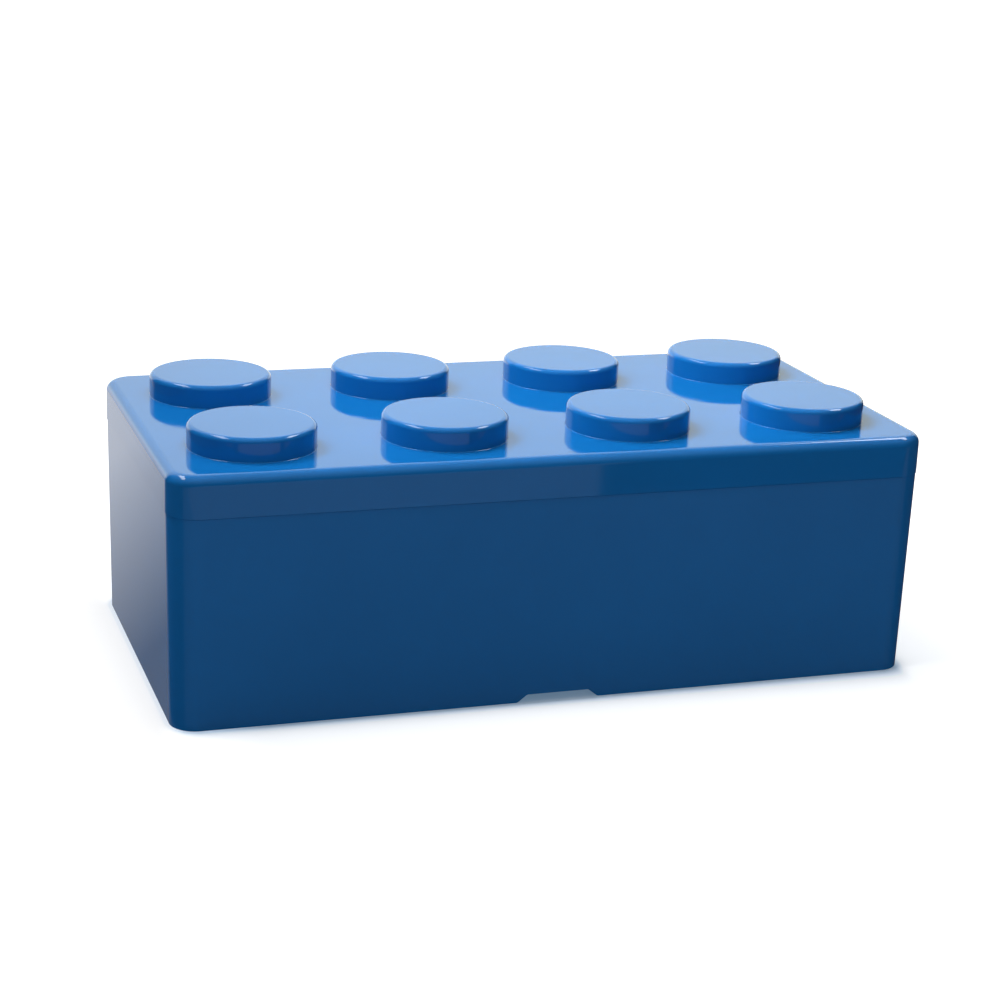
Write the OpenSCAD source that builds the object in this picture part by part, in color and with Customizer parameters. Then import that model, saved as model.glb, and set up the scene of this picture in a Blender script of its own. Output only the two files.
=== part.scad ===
// Stackable storage box in the shape of a building brick: an open tub under a lift-off lid.
// The lid carries round hollow studs, and the recess in the tub's base takes the studs of the
// box below. Millimetres, +Z up, +X along the length, -Y to the front.
// The origin is the centre of the base, on the surface that the box stands on.

/* [Box] */
// Length over the lid
box_length = 265; // [220:1:400]
// Depth over the lid, front to back
box_depth = 135; // [115:1:240]
// Height from the base to the lid's flat top, without the studs
box_height = 86; // [50:1:160]
// Radius of the lid's four corners, seen from above
corner_r = 10; // [8:0.5:14]

/* [Lid] */
// Height of the lid's band, from its lower edge to the flat top
band_height = 14; // [8:0.5:24]
// Thickness of the band
band_wall = 1.6; // [1.2:0.1:2]
// Thickness of the top plate
plate_wall = 2; // [1.5:0.1:3]
// Radius on the edge where the band meets the flat top
edge_r = 3.5; // [1.5:0.1:5]

/* [Studs] */
// Number of studs along the length
stud_columns = 4; // [1:1:5]
// Number of rows of studs, front to back
stud_rows = 2; // [1:1:2]
// Diameter of a stud
stud_d = 43; // [30:0.5:45]
// Height of a stud above the flat top
stud_height = 8; // [4:0.5:12]
// Thickness of a stud's side and of its cap
stud_wall = 2; // [1.5:0.1:3]
// Radius on a stud's upper edge
stud_edge_r = 1.8; // [0.5:0.1:2.5]
// Space from the lid's left and right faces to the nearest stud
stud_margin_x = 11.7; // [8:0.1:20]
// Space from the lid's front and back faces to the nearest stud
stud_margin_y = 12; // [8:0.1:15]

/* [Tub] */
// How far the tub's outside stands back behind the lid's band
side_step = 0.2; // [0.1:0.05:0.8]
// Angle by which the tub's walls lean in towards the base
draft = 0.74; // [0:0.02:1]
// Thickness of the rim that stands up inside the lid's band
rim_wall = 1.5; // [1.2:0.1:2]
// Chamfer around the top of the rim, which leads the lid on
rim_lead = 0.8; // [0.3:0.1:1]
// Thickness of the floor
floor_wall = 2.2; // [1.5:0.1:4]
// Radius inside the tub, between the floor and the walls
floor_r = 3; // [1:0.5:3]

/* [Base] */
// Thickness of the ribs under the floor
rib_wall = 1.6; // [1.2:0.1:2.5]
// How far the ribs end above the edge that the box stands on
rib_lift = 0.5; // [0.2:0.1:2]
// Width of the finger notch at its top
notch_width = 22; // [10:1:40]
// Height of the finger notch
notch_height = 2.7; // [1.5:0.1:5]
// How far each end of the notch slopes outwards on its way down
notch_slope = 3.5; // [0.5:0.5:6]
// Radius on the notch's corners
notch_r = 1.2; // [0.2:0.1:1.5]

/* [Fits] */
// Running clearance between the rim and the inside of the lid's band
lid_clearance = 0.25; // [0.1:0.05:0.4]
// Open seam between the band's lower edge and the tub's shoulder
seam_gap = 0.1; // [0.05:0.05:1]
// Room above the studs of the box below
stack_headroom = 1; // [0.5:0.1:3]
// Room beside the studs of the box below
stack_clearance = 0.4; // [0.2:0.1:1]

/* [Colours] */
// Colour of the plastic
plastic = "#1660b4";

/* [Hidden] */
$fn = 96;

// How far a cut runs past the face that it opens
cut = 1;

// The four corners turn about upright axes. Distances named _u are measured outwards from these
// axes, and from the straight lines between them.
axis_x = box_length / 2 - corner_r;
axis_y = box_depth / 2 - corner_r;

// Heights
seam_z = box_height - band_height;
shoulder_z = seam_z - seam_gap;
rim_top_z = box_height - plate_wall;
floor_under_z = stud_height + stack_headroom;
floor_top_z = floor_under_z + floor_wall;

// Lid
band_inner_u = corner_r - band_wall;
lid_corner_r = rim_lead + lid_clearance;

// Tub: the shoulder carries the seam, and the wall leans in from it towards the base
shoulder_u = corner_r - side_step;
foot_u = shoulder_u - shoulder_z * tan(draft);
rim_u = band_inner_u - lid_clearance;
tub_wall = shoulder_u - rim_u + rim_wall;
recess_u = foot_u - tub_wall;
cavity_foot_u = rim_u - rim_wall - (rim_top_z - floor_top_z) * tan(draft);
cavity_mouth_u = rim_u - rim_wall + cut * tan(draft);
// Centre of the radius between the floor and the leaning wall
floor_r_u = cavity_foot_u + floor_r * tan(draft) - floor_r / cos(draft);
floor_r_z = floor_top_z + floor_r;

// Studs, and the rib frame that goes around them
stud_r = stud_d / 2;
stud_pitch_x = (box_length - 2 * stud_margin_x - stud_d) / max(stud_columns - 1, 1);
stud_pitch_y = (box_depth - 2 * stud_margin_y - stud_d) / max(stud_rows - 1, 1);
frame_x = (stud_columns - 1) * stud_pitch_x / 2 + stud_r + stack_clearance;
frame_y = (stud_rows - 1) * stud_pitch_y / 2 + stud_r + stack_clearance;

// Place of item number i in a centred row of count items
function place(i, count, pitch) = (i - (count - 1) / 2) * pitch;

// Rectangle from the origin, with its upper outer corner rounded
module rounded(width, height, r) {
    square([width - r, height]);
    square([width, height - r]);
    translate([width - r, height - r])
        circle(r);
}

// Box centred on the vertical axis, from z0 to z1
module slab(half_x, half_y, z0, z1) {
    translate([-half_x, -half_y, z0])
        cube([2 * half_x, 2 * half_y, z1 - z0]);
}

// Sweeps its children, a flat section in u and z, around the rounded rectangle
module around() {
    for (side = [0 : 3]) {
        out = side % 2 == 0 ? axis_x : axis_y;
        along = side % 2 == 0 ? axis_y : axis_x;
        rotate([0, 0, 90 * side])
            translate([out, along, 0]) {
                rotate_extrude(angle = 90)
                    children();
                rotate([90, 0, 0])
                    linear_extrude(2 * along)
                        children();
            }
    }
}

// Puts its children at the centre of each stud
module at_studs() {
    for (column = [0 : stud_columns - 1])
        for (row = [0 : stud_rows - 1])
            translate([place(column, stud_columns, stud_pitch_x), place(row, stud_rows, stud_pitch_y), 0])
                children();
}

// Band and the edge of the top plate
module lid_section() {
    difference() {
        translate([0, seam_z])
            rounded(corner_r, band_height, edge_r);
        translate([0, seam_z - cut])
            rounded(band_inner_u, rim_top_z - seam_z + cut, lid_corner_r);
    }
}

module lid() {
    color(plastic)
        difference() {
            union() {
                around()
                    lid_section();
                slab(axis_x, axis_y, rim_top_z, box_height);
                at_studs()
                    translate([0, 0, rim_top_z])
                        rotate_extrude()
                            rounded(stud_r, plate_wall + stud_height, stud_edge_r);
            }
            at_studs()
                translate([0, 0, rim_top_z - cut])
                    cylinder(r = stud_r - stud_wall, h = cut + plate_wall + stud_height - stud_wall);
        }
}

// Inside of the tub: leaning walls that meet the floor in a radius
module cavity_section() {
    polygon([
        [0, floor_top_z],
        [floor_r_u, floor_top_z],
        [floor_r_u, floor_r_z],
        [floor_r_u + floor_r * cos(draft), floor_r_z - floor_r * sin(draft)],
        [cavity_mouth_u, rim_top_z + cut],
        [0, rim_top_z + cut]
    ]);
    translate([floor_r_u, floor_r_z])
        circle(floor_r);
}

// Wall with its foot, shoulder and rim, and the edge of the floor
module tub_section() {
    difference() {
        polygon([
            [0, 0],
            [foot_u, 0],
            [shoulder_u, shoulder_z],
            [rim_u, shoulder_z],
            [rim_u, rim_top_z - rim_lead],
            [rim_u - rim_lead, rim_top_z],
            [0, rim_top_z]
        ]);
        cavity_section();
        translate([0, -cut])
            square([recess_u, floor_under_z + cut]);
    }
}

// Frame that holds the studs of the box below in place, and the ribs between them
module ribs() {
    top_z = floor_under_z + floor_wall / 2;
    difference() {
        slab(frame_x + rib_wall, frame_y + rib_wall, rib_lift, top_z);
        slab(frame_x, frame_y, 0, top_z + cut);
    }
    for (i = [1 : 1 : stud_columns - 1])
        translate([(i - stud_columns / 2) * stud_pitch_x, 0, 0])
            slab(rib_wall / 2, frame_y + rib_wall / 2, rib_lift, top_z);
    for (i = [1 : 1 : stud_rows - 1])
        translate([0, (i - stud_rows / 2) * stud_pitch_y, 0])
            slab(frame_x + rib_wall / 2, rib_wall / 2, rib_lift, top_z);
}

// Outline of the finger notch, with x along the box and y up
module notch_outline() {
    top = notch_width / 2;
    foot = top + notch_slope;
    offset(r = notch_r)
        offset(delta = -2 * notch_r)
            offset(r = notch_r)
                polygon([
                    [-foot - notch_r, -cut - notch_r],
                    [-foot - notch_r, 0],
                    [-foot, 0],
                    [-top, notch_height],
                    [top, notch_height],
                    [foot, 0],
                    [foot + notch_r, 0],
                    [foot + notch_r, -cut - notch_r]
                ]);
}

module tub() {
    color(plastic)
        difference() {
            union() {
                around()
                    tub_section();
                slab(axis_x, axis_y, floor_under_z, floor_top_z);
                ribs();
            }
            for (turn = [0, 180])
                rotate([0, 0, turn])
                    translate([0, -axis_y - recess_u + cut, 0])
                        rotate([90, 0, 0])
                            linear_extrude(tub_wall + 2 * cut)
                                notch_outline();
        }
}

tub();
lid();
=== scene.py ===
"""Lift-off lid and open tub of a brick-shaped storage box, with the stage that they stand on."""

import math

import bmesh
import bpy
from mathutils import Matrix, Quaternion, Vector


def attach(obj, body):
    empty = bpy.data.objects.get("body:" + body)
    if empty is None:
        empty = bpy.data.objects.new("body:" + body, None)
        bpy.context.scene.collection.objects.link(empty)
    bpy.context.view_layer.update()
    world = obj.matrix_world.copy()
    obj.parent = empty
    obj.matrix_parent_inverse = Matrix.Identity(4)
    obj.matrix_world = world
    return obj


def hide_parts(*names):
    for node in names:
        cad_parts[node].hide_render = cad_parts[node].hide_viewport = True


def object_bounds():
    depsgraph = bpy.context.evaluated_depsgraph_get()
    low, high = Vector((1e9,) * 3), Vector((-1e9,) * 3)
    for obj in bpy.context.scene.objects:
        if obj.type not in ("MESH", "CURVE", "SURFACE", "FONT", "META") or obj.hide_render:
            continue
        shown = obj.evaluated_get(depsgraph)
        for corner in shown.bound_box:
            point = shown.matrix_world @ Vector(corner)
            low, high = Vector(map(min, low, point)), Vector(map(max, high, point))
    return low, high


bl_info = {
    "name": "Brick Box",
    "version": (1, 0, 0),
    "blender": (4, 5, 0),
    "location": "View3D > Sidebar > Brick Box",
    "description": "Builds a stackable storage box with a studded lid, and a studio for it",
    "category": "Add Mesh",
}

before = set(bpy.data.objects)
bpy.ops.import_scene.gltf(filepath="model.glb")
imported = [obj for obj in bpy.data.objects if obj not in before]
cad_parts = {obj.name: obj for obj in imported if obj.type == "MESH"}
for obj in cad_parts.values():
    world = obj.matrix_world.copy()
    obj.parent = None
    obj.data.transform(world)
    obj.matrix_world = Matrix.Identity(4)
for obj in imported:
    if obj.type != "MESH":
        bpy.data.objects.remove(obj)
CAD_LOW, CAD_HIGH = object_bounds()

MM = 0.001
UP = Vector((0.0, 0.0, 1.0))
SAME = 1e-6  # Points that lie closer than this are one, in metres
SLIVER = 1e-7  # Edges shorter than this are none, in metres

STUD_COLUMNS = 4
STUD_FACETS = 96
CORNER_FACETS = 24  # In each of the four upright corners
CRISP = math.radians(40)  # Edges that turn by more than this are shaded crisp
FOOT_TURN = math.radians(30)  # Edges of the foot that turn by more than this are softened

TABLE_SIZE = 14  # Metres
PAINTED_REFLECTION_DARK = 0.03  # How bright the dark parts of the table's painted reflection are
WHITE = (1, 1, 1, 1)
PAINTED_BLUE_BOUNCE = (0.5, 1, 1.6, 1)  # Painted blue bounce light from the box on the white paper at its foot
BACKDROP_COLOUR = (1.0, 1.08, 0.96, 1.0)
BACKDROP_MIDDLE = (0.139, 0.990, 0)
NODE_PITCH = 180
MIX_FIRST, MIX_SECOND, MIX_RESULT = 6, 7, 2  # Places of the colour sockets on a Mix node


def length(name, default, low, high, description):
    """A size, given here in millimetres, kept in metres and shown in the scene's own unit."""
    return bpy.props.FloatProperty(
        name=name,
        description=description,
        default=default * MM,
        min=low * MM,
        max=high * MM,
        subtype="DISTANCE",
        unit="LENGTH",
        precision=5,
    )


def share(name, default, description, high=1.0):
    """A plain number from 0 up."""
    return bpy.props.FloatProperty(
        name=name, description=description, default=default, min=0.0, max=high, precision=4
    )


def watts(name, default, high, description):
    """Power of a lamp in watts."""
    return bpy.props.FloatProperty(
        name=name,
        description=description,
        default=default,
        min=0.0,
        max=high,
        unit="POWER",
        precision=4,
    )


def colour(name, default, description):
    """A colour in linear light."""
    return bpy.props.FloatVectorProperty(
        name=name,
        description=description,
        default=default,
        size=3,
        min=0.0,
        max=1.0,
        subtype="COLOR",
    )


class BoxSizes(bpy.types.PropertyGroup):
    """Sizes of the lid and the tub."""

    corner: length("Corner radius", 10, 8, 14, "Radius of the lid's corners, seen from above")
    band: length("Band height", 14, 8, 24, "Height of the lid's band, from seam to flat top")
    band_wall: length("Band wall", 1.6, 1.2, 2, "Thickness of the lid's band")
    plate: length("Plate", 2, 1.5, 3, "Thickness of the lid's top plate")
    edge: length("Edge radius", 3.5, 1.5, 5, "Radius where the band meets the flat top")
    stud: length("Stud diameter", 43, 30, 45, "Diameter of a stud")
    stud_height: length("Stud height", 8, 4, 12, "Height of a stud above the flat top")
    stud_wall: length("Stud wall", 2, 1.5, 3, "Thickness of a stud's side and cap")
    stud_edge: length("Stud edge radius", 1.8, 0.5, 2.5, "Radius on a stud's upper edge")
    stud_foot: length("Stud foot radius", 0.2, 0.1, 1, "Radius where a stud meets the flat top")
    margin_x: length(
        "Margin left and right", 11.7, 8, 20, "Space from the lid's ends to the studs"
    )
    margin_y: length(
        "Margin front and back", 12, 8, 15, "Space from the lid's front and back to the studs"
    )
    step: length("Side step", 0.2, 0.1, 0.8, "How far the tub stands back behind the lid's band")
    draft: bpy.props.FloatProperty(
        name="Draft",
        description="Angle by which the tub's walls lean in towards the base",
        default=math.radians(0.74),
        min=0.0,
        max=math.radians(1),
        subtype="ANGLE",
        unit="ROTATION",
    )
    rim: length("Rim wall", 1.5, 1.2, 2, "Thickness of the rim inside the lid's band")
    lead: length("Rim lead", 0.8, 0.3, 1, "Chamfer around the top of the rim")
    floor: length("Floor", 2.2, 1.5, 4, "Thickness of the tub's floor")
    floor_radius: length("Floor radius", 3, 1, 3, "Radius between the floor and the walls")
    rib: length("Rib", 1.6, 1.2, 2.5, "Thickness of the ribs under the floor")
    rib_lift: length("Rib lift", 0.5, 0.2, 2, "Height of the ribs above the foot's lower edge")
    notch: length("Notch width", 22, 10, 40, "Width of a finger notch at its top")
    notch_height: length("Notch height", 2.7, 1.5, 5, "Height of a finger notch")
    notch_slope: length(
        "Notch slope", 3.5, 0.5, 6, "How far each end of a notch slopes outwards"
    )
    notch_radius: length("Notch radius", 1.2, 0.2, 1.5, "Radius on the notch's corners")
    clearance: length(
        "Lid clearance", 0.25, 0.1, 0.4, "Running clearance between the rim and the band"
    )
    seam: length("Seam", 0.1, 0.05, 1, "Open seam between the band and the tub's shoulder")
    headroom: length("Stack headroom", 1, 0.5, 3, "Room above the studs of the box below")
    stack_clearance: length(
        "Stack clearance", 0.4, 0.2, 1, "Room beside the studs of the box below"
    )
    soft_edge: length(
        "Soft edge", 0.25, 0.05, 0.5, "Radius on the edges that the mould leaves crisp"
    )
    seam_edge: length("Seam edge", 0.05, 0.05, 0.3, "Radius on both edges of the seam")


class PlasticLook(bpy.types.PropertyGroup):
    """Colour and finish of the plastic."""

    blue: colour("Blue", (0.006, 0.162, 0.500), "Colour of the plastic")
    roughness: share("Roughness", 0.045, "How far the gloss blurs what it mirrors")
    handling: share("Handling", 0.05, "How much rougher the gloss is where it has been touched")
    unevenness: length(
        "Unevenness", 0.012, 0, 0.2, "Height of the slow waves in the moulded faces"
    )
    tint: share("Tint", 0.05, "How much the colour drifts from place to place")


class StudioLook(bpy.types.PropertyGroup):
    """Brightness of the studio around the box."""

    ambient: share("Ambient", 0.4, "Light from all around", high=4.0)
    softbox: watts("Softbox", 0.66, 40.0, "Lamp close above the lid")
    side: watts("Side lamp", 0.08, 40.0, "Lamp at the left, with a narrow beam")
    rear_left: watts("Rear left lamp", 23.0, 400.0, "Lamp high behind the left end")
    rear_right: watts("Rear right lamp", 2.0, 400.0, "Lamp high behind the right end")
    strips: watts("Strips", 8.0, 40.0, "Two strips of light that show in the rounded edges")
    backdrop: share("Backdrop", 1.08, "Brightness of the backdrop in the gloss", high=4.0)
    # Reach of the shadow painted into the table's white at the box's foot
    shadow: length("Shadow", 3.3, 1, 50, "How far the shadow at the foot reaches")
    table: share("Table", 0.4, "Share of the light that the table throws back")


# Helpers ------------------------------------------------------------------------------------


def studs(sizes):
    """Centres of the eight studs, seen from above."""
    radius = sizes.stud / 2
    x = CAD_HIGH.x - sizes.margin_x - radius
    y = CAD_HIGH.y - sizes.margin_y - radius
    middle = (STUD_COLUMNS - 1) / 2
    return [
        Vector((x * (column - middle) / middle, y * row, 0))
        for column in range(STUD_COLUMNS)
        for row in (-1, 1)
    ]


def corner_axes(sizes):
    """Distances of the corners' upright axes from the middle of the box."""
    return CAD_HIGH.x - sizes.corner, CAD_HIGH.y - sizes.corner


def flat_top(sizes):
    """Height of the lid's flat top."""
    return CAD_HIGH.z - sizes.stud_height


def new_edges(result, key="geom"):
    return [item for item in result[key] if isinstance(item, bmesh.types.BMEdge)]


def new_verts(result):
    return [item for item in result["geom"] if isinstance(item, bmesh.types.BMVert)]


def section(bm, sizes, points, rounds):
    """Draws a wall's section at the right front corner axis, as (outwards, up, radius) in metres.

    Corners with a radius are rounded, and small ones with fewer facets. The edges come back in
    no set order."""
    axis_x, axis_y = corner_axes(sizes)
    verts = [bm.verts.new((axis_x + out, -axis_y, up)) for out, up, _ in points]
    for first, second in zip(verts, verts[1:]):
        bm.edges.new((first, second))
    for vert, (_, _, radius) in zip(verts, points):
        if radius:
            bmesh.ops.bevel(
                bm,
                geom=[vert],
                offset=radius,
                offset_type="OFFSET",
                segments=max(2, rounds if radius > MM else rounds // 3),
                profile=0.5,
                affect="VERTICES",
                material=-1,
            )
    return list(bm.edges)


def carry_round(bm, sizes, edges):
    """Carries a section along the four sides of the box and round its four corners."""
    axis_x, axis_y = corner_axes(sizes)
    for side in range(4):
        turn = Matrix.Rotation(math.radians(90 * side), 3, "Z")
        across, along = (axis_y, axis_x) if side % 2 else (axis_x, axis_y)
        sides = bmesh.ops.extrude_edge_only(bm, edges=edges)
        way = turn @ Vector((0, 1, 0)) * 2 * along
        bmesh.ops.translate(bm, vec=way, verts=new_verts(sides))
        corner = bmesh.ops.spin(
            bm,
            geom=new_edges(sides),
            cent=turn @ Vector((across, along, 0)),
            axis=UP,
            angle=math.radians(90),
            steps=CORNER_FACETS,
            use_merge=False,
            use_duplicate=False,
        )
        edges = new_edges(corner, "geom_last")
    bmesh.ops.remove_doubles(bm, verts=bm.verts[:], dist=SAME)
    bmesh.ops.dissolve_degenerate(bm, edges=bm.edges[:], dist=SLIVER)


def border(bm, height, besides=()):
    """Edges of the open border at this height, besides those that were just drawn there."""
    drawn = set(besides)
    return [
        edge
        for edge in bm.edges
        if edge.is_boundary
        and edge not in drawn
        and all(abs(vert.co.z - height) < SAME for vert in edge.verts)
    ]


def ring(bm, centre, radius, height):
    """A circle of free edges."""
    made = bmesh.ops.create_circle(
        bm,
        cap_ends=False,
        radius=radius,
        segments=STUD_FACETS,
        matrix=Matrix.Translation((centre.x, centre.y, height)),
    )
    return list({edge for vert in made["verts"] for edge in vert.link_edges})


def rectangle(bm, low_x, low_y, high_x, high_y, height):
    """A rectangle of free edges."""
    size = Matrix.Diagonal((high_x - low_x, high_y - low_y, 1, 1))
    place = Matrix.Translation(((low_x + high_x) / 2, (low_y + high_y) / 2, height))
    made = bmesh.ops.create_grid(bm, x_segments=1, y_segments=1, size=0.5, matrix=place @ size)
    edges = list({edge for vert in made["verts"] for edge in vert.link_edges})
    faces = list({face for vert in made["verts"] for face in vert.link_faces})
    bmesh.ops.delete(bm, geom=faces, context="FACES_ONLY")
    return edges


def fill_plate(bm, edges, up):
    """Fills the flat face between an outline and the outlines inside it."""
    bmesh.ops.triangle_fill(
        bm, use_beauty=True, use_dissolve=False, edges=edges, normal=UP * up
    )


def raise_rings(bm, edges, rise):
    """Draws free or open edges up or down into walls, and returns the edges at their far end."""
    walls = bmesh.ops.extrude_edge_only(bm, edges=edges)
    bmesh.ops.translate(bm, vec=(0, 0, rise), verts=new_verts(walls))
    return new_edges(walls)


def round_edges(bm, edges, radius, segments):
    """Rounds these edges, inside and outside corners alike."""
    bmesh.ops.bevel(
        bm,
        geom=edges,
        offset=radius,
        offset_type="OFFSET",
        segments=segments,
        profile=0.5,
        affect="EDGES",
        clamp_overlap=True,
        material=-1,
    )


def finish_piece(bm, name, body, nodes, material):
    """Turns the faces outwards and makes the piece, which rides on its body."""
    bmesh.ops.remove_doubles(bm, verts=bm.verts[:], dist=SAME)
    bmesh.ops.recalc_face_normals(bm, faces=bm.faces[:])
    if bm.calc_volume(signed=True) < 0:
        bmesh.ops.reverse_faces(bm, faces=bm.faces[:])
    open_edges = sum(1 for edge in bm.edges if not edge.is_manifold)
    if open_edges:
        raise RuntimeError(f"{name} is not closed: {open_edges} open edges")
    for face in bm.faces:
        face.smooth = True
    for edge in bm.edges:
        edge.smooth = edge.calc_face_angle(0.0) < CRISP
    mesh = bpy.data.meshes.new(name)
    bm.to_mesh(mesh)
    bm.free()
    mesh.materials.append(material)
    piece = bpy.data.objects.new(name, mesh)
    bpy.context.scene.collection.objects.link(piece)
    even = piece.modifiers.new("even_faces", "WEIGHTED_NORMAL")
    even.keep_sharp = True
    even.weight = 100
    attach(piece, body)
    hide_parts(*nodes)
    return piece


# Plastic ------------------------------------------------------------------------------------


def wire(tree, source, target):
    tree.links.new(source, target)


def add(tree, kind, label, x, y, values=None, **settings):
    """Adds a node. Settings are its properties, and values the numbers on its sockets,
    which go by name or by place."""
    node = tree.nodes.new(kind)
    node.label = label
    node.location = (x, y)
    for name, value in settings.items():
        setattr(node, name, value)
    for name, value in (values or {}).items():
        node.inputs[name].default_value = value
    return node


def span(from_low, from_high, low=0, high=1):
    """Values for a Map Range node."""
    return {"From Min": from_low, "From Max": from_high, "To Min": low, "To Max": high}


def moulded_gloss():
    """Node group: the small unevenness of glossy plastic out of a polished mould."""
    tree = bpy.data.node_groups.get("moulded_gloss")
    if tree:
        return tree
    tree = bpy.data.node_groups.new("moulded_gloss", "ShaderNodeTree")
    for name, kind, default in (
        ("Position", "NodeSocketVector", (0, 0, 0)),
        ("Colour", "NodeSocketColor", (0.5, 0.5, 0.5, 1)),
        ("Tint", "NodeSocketFloat", 0.05),
        ("Roughness", "NodeSocketFloat", 0.05),
        ("Handling", "NodeSocketFloat", 0.05),
    ):
        socket = tree.interface.new_socket(name=name, in_out="INPUT", socket_type=kind)
        socket.default_value = default
    for name, kind in (
        ("Colour", "NodeSocketColor"),
        ("Roughness", "NodeSocketFloat"),
        ("Height", "NodeSocketFloat"),
    ):
        tree.interface.new_socket(name=name, in_out="OUTPUT", socket_type=kind)
    given = add(tree, "NodeGroupInput", "Given", -1100, 0)
    made = add(tree, "NodeGroupOutput", "Made", 700, 0)
    position = given.outputs["Position"]

    drift = add(tree, "ShaderNodeTexNoise", "Pigment drift", -800, 300, {"Scale": 14, "Detail": 3})
    level = add(
        tree, "ShaderNodeMapRange", "Drift to brightness", -560, 300, span(0.3, 0.7, -1, 1)
    )
    amount = add(tree, "ShaderNodeMath", "Times tint", -320, 300, {2: 1}, operation="MULTIPLY_ADD")
    shade = add(tree, "ShaderNodeVectorMath", "Shade the colour", -60, 300, operation="SCALE")
    wire(tree, position, drift.inputs["Vector"])
    wire(tree, drift.outputs[0], level.inputs["Value"])
    wire(tree, level.outputs[0], amount.inputs[0])
    wire(tree, given.outputs["Tint"], amount.inputs[1])
    wire(tree, given.outputs["Colour"], shade.inputs[0])
    wire(tree, amount.outputs[0], shade.inputs["Scale"])
    wire(tree, shade.outputs[0], made.inputs["Colour"])

    touch = add(
        tree,
        "ShaderNodeTexNoise",
        "Where hands have been",
        -800,
        0,
        {"Scale": 26, "Detail": 5, "Roughness": 0.6},
    )
    patches = add(
        tree,
        "ShaderNodeMapRange",
        "Patches",
        -560,
        0,
        span(0.5, 0.75),
        interpolation_type="SMOOTHSTEP",
    )
    stretch = add(
        tree,
        "ShaderNodeMapping",
        "Draw out to hairlines",
        -800,
        -260,
        {"Scale": (40, 900, 900), "Rotation": (0.2, 0.1, 0.5)},
    )
    hair = add(tree, "ShaderNodeTexNoise", "Hairlines", -560, -260, {"Scale": 1, "Detail": 2})
    lines = add(
        tree,
        "ShaderNodeMapRange",
        "Only the deepest",
        -320,
        -260,
        span(0.66, 0.78),
        interpolation_type="SMOOTHSTEP",
    )
    either = add(tree, "ShaderNodeMath", "Patches or hairlines", -60, -60, operation="MAXIMUM")
    rough = add(tree, "ShaderNodeMath", "Rougher there", 180, -60, operation="MULTIPLY_ADD")
    wire(tree, position, touch.inputs["Vector"])
    wire(tree, position, stretch.inputs["Vector"])
    wire(tree, stretch.outputs[0], hair.inputs["Vector"])
    wire(tree, touch.outputs[0], patches.inputs["Value"])
    wire(tree, hair.outputs[0], lines.inputs["Value"])
    wire(tree, patches.outputs[0], either.inputs[0])
    wire(tree, lines.outputs[0], either.inputs[1])
    wire(tree, either.outputs[0], rough.inputs[0])
    wire(tree, given.outputs["Handling"], rough.inputs[1])
    wire(tree, given.outputs["Roughness"], rough.inputs[2])
    wire(tree, rough.outputs[0], made.inputs["Roughness"])

    slow = add(
        tree,
        "ShaderNodeTexNoise",
        "Slow waves of the mould",
        -320,
        -560,
        {"Scale": 22, "Detail": 1},
    )
    fine = add(
        tree, "ShaderNodeTexNoise", "Polish of the mould", -320, -800, {"Scale": 420, "Detail": 2}
    )
    height = add(
        tree, "ShaderNodeMath", "Both heights", -60, -640, {1: 0.012}, operation="MULTIPLY_ADD"
    )
    wire(tree, position, slow.inputs["Vector"])
    wire(tree, position, fine.inputs["Vector"])
    wire(tree, fine.outputs[0], height.inputs[0])
    wire(tree, slow.outputs[0], height.inputs[2])
    wire(tree, height.outputs[0], made.inputs["Height"])
    return tree


def blue_plastic(name, look, offset):
    """Glossy blue plastic. The offset keeps two mouldings from looking alike."""
    material = bpy.data.materials.new(name)
    material.use_nodes = True
    tree = material.node_tree
    tree.nodes.clear()
    place = add(tree, "ShaderNodeTexCoord", "Place", -900, 0)
    shift = add(
        tree, "ShaderNodeMapping", "Own part of the pattern", -700, 0, {"Location": offset}
    )
    gloss = add(
        tree,
        "ShaderNodeGroup",
        "Moulded gloss",
        -450,
        0,
        {
            "Colour": (*look.blue, 1),
            "Tint": look.tint,
            "Roughness": look.roughness,
            "Handling": look.handling,
        },
        node_tree=moulded_gloss(),
    )
    bump = add(
        tree,
        "ShaderNodeBump",
        "Unevenness",
        -200,
        -200,
        {"Distance": look.unevenness, "Strength": 1},
    )
    plastic = add(tree, "ShaderNodeBsdfPrincipled", "Plastic", 50, 0, {"IOR": 1.54})
    surface = add(tree, "ShaderNodeOutputMaterial", "Surface", 350, 0)
    wire(tree, place.outputs["Object"], shift.inputs["Vector"])
    wire(tree, shift.outputs[0], gloss.inputs["Position"])
    wire(tree, gloss.outputs["Colour"], plastic.inputs["Base Color"])
    wire(tree, gloss.outputs["Roughness"], plastic.inputs["Roughness"])
    wire(tree, gloss.outputs["Height"], bump.inputs["Height"])
    wire(tree, bump.outputs[0], plastic.inputs["Normal"])
    wire(tree, plastic.outputs[0], surface.inputs["Surface"])
    return material


# Lid ----------------------------------------------------------------------------------------


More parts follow.
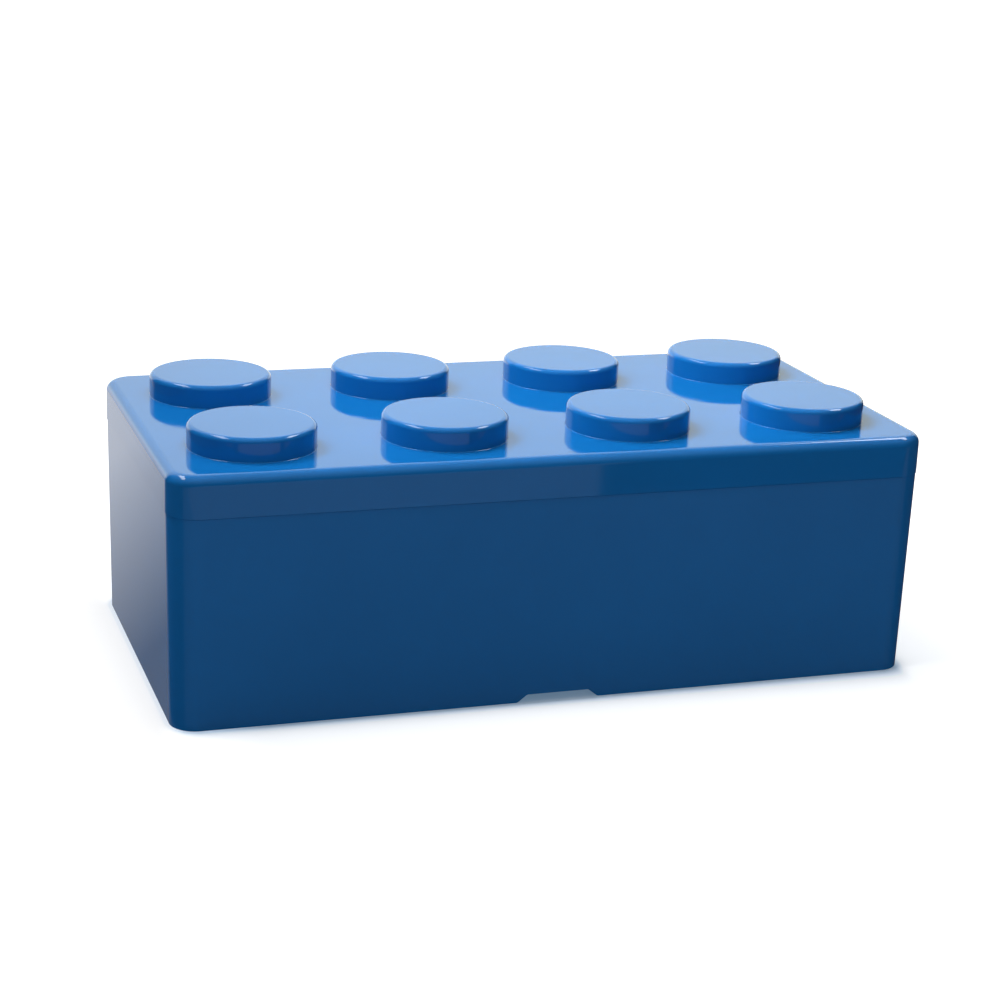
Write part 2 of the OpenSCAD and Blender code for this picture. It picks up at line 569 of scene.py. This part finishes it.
class BRICKBOX_OT_lid(bpy.types.Operator):
    """Make the lid: a plate with a band around it and eight hollow studs, moulded in one"""

    bl_idname = "brickbox.lid"
    bl_label = "Lid"

    def execute(self, context):
        sizes, look = context.scene.brick_box_sizes, context.scene.brick_box_plastic
        top = flat_top(sizes)
        inner_top = top - sizes.plate
        band_low = top - sizes.band
        outer = sizes.corner
        inner = outer - sizes.band_wall
        inner_radius = sizes.lead + sizes.clearance
        bm = bmesh.new()
        edges = section(
            bm,
            sizes,
            (
                (0, inner_top, 0),
                (inner, inner_top, inner_radius),
                (inner, band_low, sizes.seam_edge),
                (outer, band_low, sizes.seam_edge),
                (outer, top, sizes.edge),
                (0, top, 0),
            ),
            rounds=12,
        )
        carry_round(bm, sizes, edges)

        stud_rings, hollow_rings = [], []
        for centre in studs(sizes):
            stud_rings += ring(bm, centre, sizes.stud / 2, top)
            hollow_rings += ring(bm, centre, sizes.stud / 2 - sizes.stud_wall, inner_top)
        fill_plate(bm, border(bm, top, besides=stud_rings) + stud_rings, 1)
        fill_plate(bm, border(bm, inner_top, besides=hollow_rings) + hollow_rings, -1)
        caps = raise_rings(bm, stud_rings, sizes.stud_height)
        bmesh.ops.edgeloop_fill(bm, edges=caps)
        hollow_height = sizes.plate + sizes.stud_height - sizes.stud_wall
        ceilings = raise_rings(bm, hollow_rings, hollow_height)
        bmesh.ops.edgeloop_fill(bm, edges=ceilings)
        bmesh.ops.recalc_face_normals(bm, faces=bm.faces[:])
        round_edges(bm, caps, sizes.stud_edge, segments=9)
        feet = [edge for edge in stud_rings if edge.is_valid]
        round_edges(bm, feet, sizes.stud_foot, segments=3)
        plastic = blue_plastic("blue_plastic_lid", look, (0.31, 0.17, 0.05))
        finish_piece(bm, "brick_lid", "lid", ["lid"], plastic)
        return {"FINISHED"}


# Tub ----------------------------------------------------------------------------------------


def cut_notch(bm, sizes, side, low_y, high_y):
    """Cuts a finger notch through the foot. The side is -1 for the front and 1 for the back."""
    half, height = sizes.notch / 2, sizes.notch_height
    lean = Vector((height, 0, sizes.notch_slope)).normalized()
    planes = (
        (Vector((0, 0, height)), UP),
        (Vector((half, 0, height)), lean),
        (Vector((-half, 0, height)), Vector((-lean.x, 0, lean.z))),
    )

    def on_this_side(place):
        return low_y < side * place.y < high_y

    def lowest(item):
        return min(vert.co.z for vert in item.verts)

    def highest(item):
        return max(vert.co.z for vert in item.verts)

    for point, normal in planes:
        wall = [
            face
            for face in bm.faces
            if on_this_side(face.calc_center_median())
            and lowest(face) < height - 10 * SAME
            and min(vert.co.x for vert in face.verts) < half
            and max(vert.co.x for vert in face.verts) > -half
        ]
        edges = {edge for face in wall for edge in face.edges}
        verts = {vert for face in wall for vert in face.verts}
        bmesh.ops.bisect_plane(
            bm, geom=[*wall, *edges, *verts], dist=SLIVER, plane_co=point, plane_no=normal
        )
    inside = [
        face
        for face in bm.faces
        if on_this_side(face.calc_center_median())
        and all(
            (face.calc_center_median() - point).dot(normal) < SAME for point, normal in planes
        )
    ]
    bmesh.ops.delete(bm, geom=inside, context="FACES")
    rim = [
        edge
        for edge in bm.edges
        if edge.is_boundary
        and on_this_side(edge.verts[0].co)
        and highest(edge) < height + SAME
    ]
    # Two edges through the wall part the opening into a roof and two slopes
    ends = (-1, 1)
    through = []
    for end in ends:
        corners = {
            vert
            for edge in rim
            for vert in edge.verts
            if abs(vert.co.z - height) < SAME and abs(vert.co.x - end * half) < SAME
        }
        through.append(bm.edges.new(tuple(corners)))
    roof = [edge for edge in rim if lowest(edge) > height - SAME]
    bmesh.ops.edgeloop_fill(bm, edges=roof + through)
    for end, edge in zip(ends, through):
        slope = [item for item in rim if item not in roof and end * item.verts[0].co.x > 0]
        bmesh.ops.edgeloop_fill(bm, edges=[*slope, edge])
    feet = [edge for edge in rim if highest(edge) < SAME]
    turn = math.atan2(height, sizes.notch_slope)
    round_edges(bm, through + feet, sizes.notch_radius * math.tan(turn / 2), segments=4)


class BRICKBOX_OT_tub(bpy.types.Operator):
    """Make the tub: leaning walls with a rim for the lid, over a ribbed foot that stacks"""

    bl_idname = "brickbox.tub"
    bl_label = "Tub"

    def execute(self, context):
        sizes, look = context.scene.brick_box_sizes, context.scene.brick_box_plastic
        top = flat_top(sizes)
        rim_top = top - sizes.plate
        shoulder = top - sizes.band - sizes.seam
        under = sizes.stud_height + sizes.headroom
        floor = under + sizes.floor
        lean = math.tan(sizes.draft)
        shoulder_out = sizes.corner - sizes.step
        foot_out = shoulder_out - shoulder * lean
        rim_out = sizes.corner - sizes.band_wall - sizes.clearance
        wall = shoulder_out - rim_out + sizes.rim
        recess_out = foot_out - wall
        mouth_out = rim_out - sizes.rim
        cavity_out = mouth_out - (rim_top - floor) * lean
        soft = sizes.soft_edge
        bm = bmesh.new()
        edges = section(
            bm,
            sizes,
            (
                (0, floor, 0),
                (cavity_out, floor, sizes.floor_radius),
                (mouth_out, rim_top, soft),
                (rim_out - sizes.lead, rim_top, 0),
                (rim_out, rim_top - sizes.lead, 0),
                (rim_out, shoulder, soft),
                (shoulder_out, shoulder, sizes.seam_edge),
                (foot_out, 0, 0),
                (recess_out, 0, 0),
                (recess_out, under, 2 * soft),
                (0, under, 0),
            ),
            rounds=9,
        )
        carry_round(bm, sizes, edges)
        fill_plate(bm, border(bm, floor), 1)

        # Ribs under the floor: a frame around the studs of the box below, and lines between them
        places = studs(sizes)
        last_x = max(place.x for place in places)
        last_y = max(place.y for place in places)
        reach = sizes.stud / 2 + sizes.stack_clearance
        frame_x, frame_y = last_x + reach, last_y + reach
        outer_x, outer_y = frame_x + sizes.rib, frame_y + sizes.rib
        pitch = last_x * 2 / (STUD_COLUMNS - 1)
        half = sizes.rib / 2
        columns = [-frame_x - half, -pitch, 0, pitch, frame_x + half]
        rows = [-frame_y - half, 0, frame_y + half]
        outline = rectangle(bm, -outer_x, -outer_y, outer_x, outer_y, under)
        fill_plate(bm, border(bm, under, besides=outline) + outline, -1)
        lower = raise_rings(bm, outline, sizes.rib_lift - under)
        pockets = []
        for left, right in zip(columns, columns[1:]):
            for front, back in zip(rows, rows[1:]):
                pockets += rectangle(
                    bm, left + half, front + half, right - half, back - half, sizes.rib_lift
                )
        fill_plate(bm, lower + pockets, -1)
        ceilings = raise_rings(bm, pockets, under - sizes.rib_lift)
        bmesh.ops.edgeloop_fill(bm, edges=ceilings)
        bmesh.ops.recalc_face_normals(bm, faces=bm.faces[:])

        axis_x, axis_y = corner_axes(sizes)
        for side in (-1, 1):
            cut_notch(bm, sizes, side, axis_y + recess_out - MM, axis_y + shoulder_out + MM)
        foot = [
            edge
            for edge in bm.edges
            if max(vert.co.z for vert in edge.verts) < sizes.notch_height + SAME
            and (abs(edge.verts[0].co.x) > axis_x + MM or abs(edge.verts[0].co.y) > axis_y + MM)
            and edge.calc_face_angle(0.0) > FOOT_TURN
        ]
        round_edges(bm, foot, soft, segments=3)
        plastic = blue_plastic("blue_plastic_tub", look, (0.07, 0.23, 0.41))
        finish_piece(bm, "brick_tub", "tub", ["tub"], plastic)
        return {"FINISHED"}


# Studio -------------------------------------------------------------------------------------


def flat_card(name, size):
    """A square card around the origin."""
    bm = bmesh.new()
    bmesh.ops.create_grid(bm, x_segments=1, y_segments=1, size=size / 2)
    mesh = bpy.data.meshes.new(name)
    bm.to_mesh(mesh)
    bm.free()
    card = bpy.data.objects.new(name, mesh)
    bpy.context.scene.collection.objects.link(card)
    return card


def sums(tree, x, y):
    """Gives short calls for Math and Map Range nodes, laid out in a row."""
    place = [x]

    def math_node(label, kind, first, second=None, third=None):
        node = add(tree, "ShaderNodeMath", label, place[0], y, operation=kind)
        place[0] += NODE_PITCH
        for socket, value in zip(node.inputs, (first, second, third)):
            if isinstance(value, bpy.types.NodeSocket):
                wire(tree, value, socket)
            elif value is not None:
                socket.default_value = value
        return node.outputs[0]

    def range_node(label, value, from_low, from_high, low, high, smooth=False):
        node = add(
            tree,
            "ShaderNodeMapRange",
            label,
            place[0],
            y,
            span(from_low, from_high, low, high),
            interpolation_type="SMOOTHSTEP" if smooth else "LINEAR",
        )
        place[0] += NODE_PITCH
        wire(tree, value, node.inputs["Value"])
        return node.outputs[0]

    return math_node, range_node


def past_the_box(tree, x, y):
    """Distances of a place past the left and right ends, the front and the back of the box."""
    math_node, _ = sums(tree, -2000, 300)
    leftwards = math_node("Leftwards", "MULTIPLY", x, -1)
    forwards = math_node("Forwards", "MULTIPLY", y, -1)
    return (
        math_node("Past the left end", "SUBTRACT", leftwards, CAD_HIGH.x),
        math_node("Past the right end", "SUBTRACT", x, CAD_HIGH.x),
        math_node("Before the front", "SUBTRACT", forwards, CAD_HIGH.y),
        math_node("Behind the back", "SUBTRACT", y, CAD_HIGH.y),
    )


def painted_table_reflection(tree, look, x, y, ends, forward):
    """Painted brightness of the table as it shows in the gloss of the box, by place: a painted
    reflection that no lamp lights.

    It is painted bright at the back, dim in front and dark at the sides, as in a studio with one
    bright backdrop. A painted pale card shows further in front, where no card stands."""
    math_node, range_node = sums(tree, -2000, 0)
    aside = math_node("Past either end", "MAXIMUM", ends, 0)
    back = math_node("Back within the fan", "MULTIPLY_ADD", aside, -1.75, y)
    glow = range_node("Backdrop's glow", back, 0.0, 0.2, 0.19, 0.9 * look.backdrop)
    far_away = range_node("Far away", back, 0.2, 0.6, 1.0, 1.4)
    glow = math_node("Brighter far away", "MULTIPLY", glow, far_away)
    fan = range_node("Fan's edge", back, -0.064, -0.058, 0, 1)
    glow = math_node("Fan's glow", "MULTIPLY", glow, fan)
    glow = math_node("Dark beside it", "MAXIMUM", glow, PAINTED_REFLECTION_DARK)

    math_node, range_node = sums(tree, -2000, -300)
    near = range_node("Table in front", forward, 0.0, 0.21, 0.11, 0.17)
    slant = math_node("Slanting edge", "MULTIPLY_ADD", forward, 0.41, 0.0085)
    over = math_node("Past the card's right edge", "SUBTRACT", x, slant)
    in_card = math_node(
        "On the card",
        "MULTIPLY",
        range_node("Left of that edge", over, -0.001, 0.001, 1, 0),
        range_node("Right of the other", x, -0.305, -0.300, 0, 1),
    )
    card = range_node("Card or dark", in_card, 0, 1, PAINTED_REFLECTION_DARK, 0.28)
    far = range_node("As far as the card", forward, 0.212, 0.216, 0, 1)
    beyond = math_node("Far part", "MULTIPLY", far, card)
    near_share = math_node("Near share", "SUBTRACT", 1, far)
    ahead = math_node("Both parts", "MULTIPLY_ADD", near, near_share, beyond)
    less = math_node("Less aside", "MULTIPLY", aside, -1)
    wedge = math_node("Wedge in front", "MULTIPLY_ADD", forward, 1.6, less)
    in_wedge = range_node("In the wedge", wedge, -0.004, 0.004, 0, 1)
    ahead = math_node("Front", "MULTIPLY", ahead, in_wedge)
    return math_node("Front or back glow", "MAXIMUM", ahead, glow)


def distance_from_the_box(tree, corner, ends, sides):
    """Distance of a place from the rounded rectangle that the box covers."""
    math_node, _ = sums(tree, 1200, 500)
    aside = math_node("Aside of the corner", "ADD", ends, corner)
    side = math_node("Beside the corners", "MAXIMUM", aside, 0)
    along = math_node("Before the corner", "ADD", sides, corner)
    across = math_node("Before or behind the corners", "MAXIMUM", along, 0)
    square = math_node("Square", "MULTIPLY", across, across)
    squares = math_node("Squares", "MULTIPLY_ADD", side, side, square)
    apart = math_node("Distance from the corners", "SQRT", squares)
    apart = math_node("Less the radius", "SUBTRACT", apart, corner)
    return math_node("Distance from the box", "MAXIMUM", apart, 0)


def painted_box_shadow(tree, look, x, left, ends, apart):
    """Share of the white that the box's painted shadow takes, and how blue the painted bounce
    light from the box makes what is left.

    A dense painted contact shadow at the foot lies in a wide faint painted shadow. Both are weaker
    before the left corner, and the faint one is stronger past the left end."""
    math_node, range_node = sums(tree, -800, 700)
    # Painted contact shadow, falling off with distance from the box's footprint
    reach = range_node("Longer at the right", x, 0, 0.12, look.shadow, 1.5 * look.shadow)
    at_ends = range_node("Shorter at the ends", ends, -0.005, 0.001, 1, 0.45, True)
    reach = math_node("Reach", "MULTIPLY", reach, at_ends)
    depth = range_node("Weaker at the left", left, -0.034, -0.008, 0.66, 0.5, True)
    at_ends = range_node("Weaker beside the ends", ends, -0.005, 0.001, 1, 0.5, True)
    depth = math_node("Depth", "MULTIPLY", depth, at_ends)
    away = math_node("Away", "MULTIPLY", apart, -1)
    gone = math_node("Fallen off", "EXPONENT", math_node("Lengths away", "DIVIDE", away, reach))
    near = math_node("Contact shadow", "MULTIPLY", depth, gone)

    # Wide faint painted shadow around the box
    wide = math_node(
        "Wide shadow's depth",
        "ADD",
        range_node("Weaker before the left corner", left, -0.034, -0.01, 0.17, 0.06, True),
        range_node("Stronger past the left end", left, -0.004, 0.004, 0, 0.27, True),
    )
    lengths = math_node("In wide lengths", "DIVIDE", apart, 30 * MM)
    fades = math_node("How far it fades", "MULTIPLY_ADD", lengths, lengths, 1)
    wide = math_node("Wide shadow", "DIVIDE", wide, fades)

    # Painted blue bounce light from the box, strongest at the foot and fading outwards
    bluer = range_node("Bluer before the front", left, -0.004, 0.004, 0.07, 0, True)
    bluer = math_node("Wide share", "DIVIDE", bluer, fades)
    at_foot = math_node("Blue at the foot", "MULTIPLY", near, 1.65)
    blue = math_node("Blue share", "MULTIPLY_ADD", at_foot, near, bluer)
    return math_node("Both shadows", "ADD", near, wide), blue


def table_paper(look, corner):
    """White paper that looks white from everywhere. Its lit diffuse part keeps the box's real
    shadow. Its white lift carries a painted shadow and painted blue bounce light near the box, and
    in the gloss it shows a painted reflection.
    """
    material = bpy.data.materials.new("table_paper")
    material.use_nodes = True
    tree = material.node_tree
    tree.nodes.clear()
    place = add(tree, "ShaderNodeTexCoord", "Place", -2400, 0)
    parts = add(tree, "ShaderNodeSeparateXYZ", "Across and back", -2200, 0)
    wire(tree, place.outputs["Object"], parts.inputs[0])
    x, y = parts.outputs["X"], parts.outputs["Y"]
    left, right, forward, backward = past_the_box(tree, x, y)
    math_node, _ = sums(tree, -1100, 300)
    ends = math_node("Nearest end", "MAXIMUM", left, right)
    sides = math_node("Nearest side", "MAXIMUM", forward, backward)

    # Painted reflection: glossy rays see this glow on the table instead of its lit surface
    painted_gloss_glow = add(tree, "ShaderNodeEmission", "In the gloss", 1800, -200)
    level = painted_table_reflection(tree, look, x, y, ends, forward)
    wire(tree, level, painted_gloss_glow.inputs["Strength"])

    apart = distance_from_the_box(tree, corner, ends, sides)
    shadow, blue = painted_box_shadow(tree, look, x, left, ends, apart)
    math_node, _ = sums(tree, 1500, 700)
    # The white lift is lowered by the painted shadow near the box
    lift = math_node("Whiter away from the box", "SUBTRACT", 1, shadow)
    # The white lift is tinted with painted blue bounce light near the box
    tint = add(
        tree,
        "ShaderNodeMix",
        "Blue near the box",
        1500,
        300,
        {MIX_FIRST: WHITE, MIX_SECOND: PAINTED_BLUE_BOUNCE},
        data_type="RGBA",
    )
    wire(tree, blue, tint.inputs["Factor"])
    white = add(tree, "ShaderNodeEmission", "Lift to white", 1800, 300)
    wire(tree, tint.outputs[MIX_RESULT], white.inputs["Color"])
    wire(tree, lift, white.inputs["Strength"])

    grey = (look.table, look.table, look.table, 1)
    paper = add(tree, "ShaderNodeBsdfDiffuse", "Paper", 1800, 100, {"Color": grey})
    path = add(tree, "ShaderNodeLightPath", "Which ray", 1800, 800)
    lifted = add(tree, "ShaderNodeAddShader", "White with a shadow", 2000, 250)
    wire(tree, paper.outputs[0], lifted.inputs[0])
    wire(tree, white.outputs[0], lifted.inputs[1])
    seen = add(tree, "ShaderNodeMixShader", "Seen or lighting", 2200, 250)
    wire(tree, path.outputs["Is Camera Ray"], seen.inputs[0])
    wire(tree, paper.outputs[0], seen.inputs[1])
    wire(tree, lifted.outputs[0], seen.inputs[2])
    gloss = add(tree, "ShaderNodeMixShader", "Or mirrored", 2400, 150)
    wire(tree, path.outputs["Is Glossy Ray"], gloss.inputs[0])
    wire(tree, seen.outputs[0], gloss.inputs[1])
    wire(tree, painted_gloss_glow.outputs[0], gloss.inputs[2])
    surface = add(tree, "ShaderNodeOutputMaterial", "Surface", 2600, 150)
    wire(tree, gloss.outputs[0], surface.inputs["Surface"])
    return material


def room(look):
    """World: white to the camera, a low bright backdrop in the gloss, and plain dim light."""
    world = bpy.data.worlds.new("studio_room")
    bpy.context.scene.world = world
    world.use_nodes = True
    tree = world.node_tree
    tree.nodes.clear()
    place = add(tree, "ShaderNodeTexCoord", "Direction", -1200, 0)
    parts = add(tree, "ShaderNodeSeparateXYZ", "Up", -1000, 0)
    wire(tree, place.outputs["Generated"], parts.inputs[0])
    height = parts.outputs["Z"]
    flat = add(
        tree,
        "ShaderNodeVectorMath",
        "Along the ground",
        -1000,
        -300,
        {1: (1, 1, 0)},
        operation="MULTIPLY",
    )
    unit = add(tree, "ShaderNodeVectorMath", "Bearing", -800, -300, operation="NORMALIZE")
    middle = add(
        tree,
        "ShaderNodeVectorMath",
        "From the backdrop's middle",
        -600,
        -300,
        {1: BACKDROP_MIDDLE},
        operation="DOT_PRODUCT",
    )
    ends = add(tree, "ShaderNodeSeparateXYZ", "Front or back", -600, -600)
    wire(tree, place.outputs["Generated"], flat.inputs[0])
    wire(tree, flat.outputs[0], unit.inputs[0])
    wire(tree, unit.outputs[0], middle.inputs[0])
    wire(tree, unit.outputs[0], ends.inputs[0])

    math_node, range_node = sums(tree, -800, 0)
    top, edge = math.sin(math.radians(78)), math.sin(math.radians(38))
    level = math_node(
        "Backdrop",
        "MULTIPLY",
        range_node("Backdrop ends", height, top, edge, 0, 1, True),
        range_node("Backdrop's width", middle.outputs["Value"], 0.68, 0.82, 0, 1, True),
    )
    low_down = range_node("Low down", height, 0.0, 0.2, 1.4, 1.0, True)
    level = math_node("Brighter low down", "MULTIPLY", level, low_down)
    ceiling = range_node("Pale ceiling", height, 0.3, 1.0, 0.03, 0.4)
    level = math_node(
        "Backdrop's brightness", "MULTIPLY_ADD", level, look.backdrop - 0.1, ceiling
    )
    bearing = ends.outputs["Y"]
    shade = math_node("Dark at both ends", "MULTIPLY", bearing, bearing)
    front = range_node("Front to back", bearing, -1, 1, 1.22, 0.78)
    shade = math_node("Stronger in front", "MULTIPLY", shade, front)
    shade = math_node("Ambient by bearing", "MULTIPLY", shade, look.ambient)

    mirrored = add(
        tree, "ShaderNodeBackground", "In the gloss", 200, -100, {"Color": BACKDROP_COLOUR}
    )
    wire(tree, level, mirrored.inputs["Strength"])
    plain = add(tree, "ShaderNodeBackground", "Ambient", 200, 100, {"Color": WHITE})
    wire(tree, shade, plain.inputs["Strength"])
    white = add(tree, "ShaderNodeBackground", "White", 200, 300, {"Color": WHITE})
    path = add(tree, "ShaderNodeLightPath", "Which ray", 200, 700)
    first = add(tree, "ShaderNodeMixShader", "Lighting or mirrored", 400, 0)
    wire(tree, path.outputs["Is Glossy Ray"], first.inputs[0])
    wire(tree, plain.outputs[0], first.inputs[1])
    wire(tree, mirrored.outputs[0], first.inputs[2])
    second = add(tree, "ShaderNodeMixShader", "Or seen", 600, 100)
    wire(tree, path.outputs["Is Camera Ray"], second.inputs[0])
    wire(tree, first.outputs[0], second.inputs[1])
    wire(tree, white.outputs[0], second.inputs[2])
    surface = add(tree, "ShaderNodeOutputWorld", "Room", 800, 100)
    wire(tree, second.outputs[0], surface.inputs["Surface"])


def lamp(name, way, apart, wide, deep, power, turn=0.0, mirrored=False):
    """A soft lamp that looks at the box from this direction. Only some show in the gloss."""
    light = bpy.data.lights.new(name, "AREA")
    light.shape = "RECTANGLE"
    light.size, light.size_y = wide, deep
    light.energy = power
    holder = bpy.data.objects.new(name, light)
    way = Vector(way).normalized()
    holder.location = way * apart + Vector((0, 0, CAD_HIGH.z))
    holder.rotation_mode = "QUATERNION"
    holder.rotation_quaternion = way.to_track_quat("Z", "Y") @ Quaternion((0, 0, 1), turn)
    holder.visible_glossy = mirrored
    bpy.context.scene.collection.objects.link(holder)
    return holder


def lamps(look):
    """A softbox close above the lid, a narrow lamp at the left, two lamps behind, two strips."""
    lamp("softbox", (-0.12, -0.06, 0.99), 0.3, 0.32, 0.2, look.softbox, turn=math.radians(100))
    side = lamp("side_lamp", (-0.8, -0.12, 0.6), 0.62, 0.2, 0.2, look.side)
    side.location.x += 0.13
    side.data.spread = math.radians(34)
    far, wide = 2.0, 0.7
    lamp("rear_left", (-0.41, 0.41, 0.82), far, wide, wide, look.rear_left)
    lamp("rear_right", (0.41, 0.41, 0.82), far, wide, wide, look.rear_right)
    for name, way, long, power in (
        ("strip_left", (-0.46, 0.22, 0.86), 1.5, 1.5 * look.strips),
        ("strip_right", (0.59, 0.1, 0.8), 1.0, 1.25 * look.strips),
    ):
        strip = lamp(name, way, far, long, 0.4, power, mirrored=True)
        strip.visible_diffuse = False


def camera():
    """Camera that looks down on the front and the left end."""
    azimuth, elevation, roll = -0.31968, 0.28914, 0.03623
    aim = Vector((-0.01239, 0, 0.05926))
    distance = 0.80332
    back = Vector(
        (
            math.sin(azimuth) * math.cos(elevation),
            -math.cos(azimuth) * math.cos(elevation),
            math.sin(elevation),
        )
    )
    data = bpy.data.cameras.new("studio_camera")
    data.sensor_width = 36
    data.lens = 80.973
    data.shift_x, data.shift_y = 0.0306, -0.02097
    data.clip_start, data.clip_end = 0.01, 50
    holder = bpy.data.objects.new("studio_camera", data)
    holder.location = aim + back * distance
    holder.rotation_mode = "QUATERNION"
    holder.rotation_quaternion = (-back).to_track_quat("-Z", "Y") @ Quaternion((0, 0, 1), roll)
    bpy.context.scene.collection.objects.link(holder)
    bpy.context.scene.camera = holder


class BRICKBOX_OT_stage(bpy.types.Operator):
    """Make the studio: a white table, a bright backdrop, soft lamps and the camera"""

    bl_idname = "brickbox.stage"
    bl_label = "Studio"

    def execute(self, context):
        sizes, look = context.scene.brick_box_sizes, context.scene.brick_box_studio
        table = flat_card("stage_table", TABLE_SIZE)
        table.data.materials.append(table_paper(look, sizes.corner))
        room(look)
        lamps(look)
        camera()
        context.scene.view_settings.view_transform = "Standard"
        return {"FINISHED"}


# Add-on -------------------------------------------------------------------------------------


GROUPS = {
    "brick_box_sizes": BoxSizes,
    "brick_box_plastic": PlasticLook,
    "brick_box_studio": StudioLook,
}
OPERATORS = (BRICKBOX_OT_lid, BRICKBOX_OT_tub, BRICKBOX_OT_stage)


class BRICKBOX_PT_sidebar(bpy.types.Panel):
    """Buttons for the pieces, and their sizes and colours"""

    bl_idname = "BRICKBOX_PT_sidebar"
    bl_label = "Brick Box"
    bl_space_type = "VIEW_3D"
    bl_region_type = "UI"
    bl_category = "Brick Box"

    def draw(self, context):
        layout = self.layout
        for operator in OPERATORS:
            layout.operator(operator.bl_idname)
        for group in GROUPS:
            values = getattr(context.scene, group)
            column = layout.column(align=True)
            for name in values.__annotations__:
                column.prop(values, name)


CLASSES = (*GROUPS.values(), *OPERATORS, BRICKBOX_PT_sidebar)


def register():
    for item in CLASSES:
        bpy.utils.register_class(item)
    for name, group in GROUPS.items():
        setattr(bpy.types.Scene, name, bpy.props.PointerProperty(type=group))


def unregister():
    for name in GROUPS:
        delattr(bpy.types.Scene, name)
    for item in reversed(CLASSES):
        bpy.utils.unregister_class(item)


def main():
    """Makes the pieces and the studio."""
    register()
    bpy.ops.brickbox.stage()
    bpy.ops.brickbox.tub()
    bpy.ops.brickbox.lid()


if __name__ == "__main__":
    main()
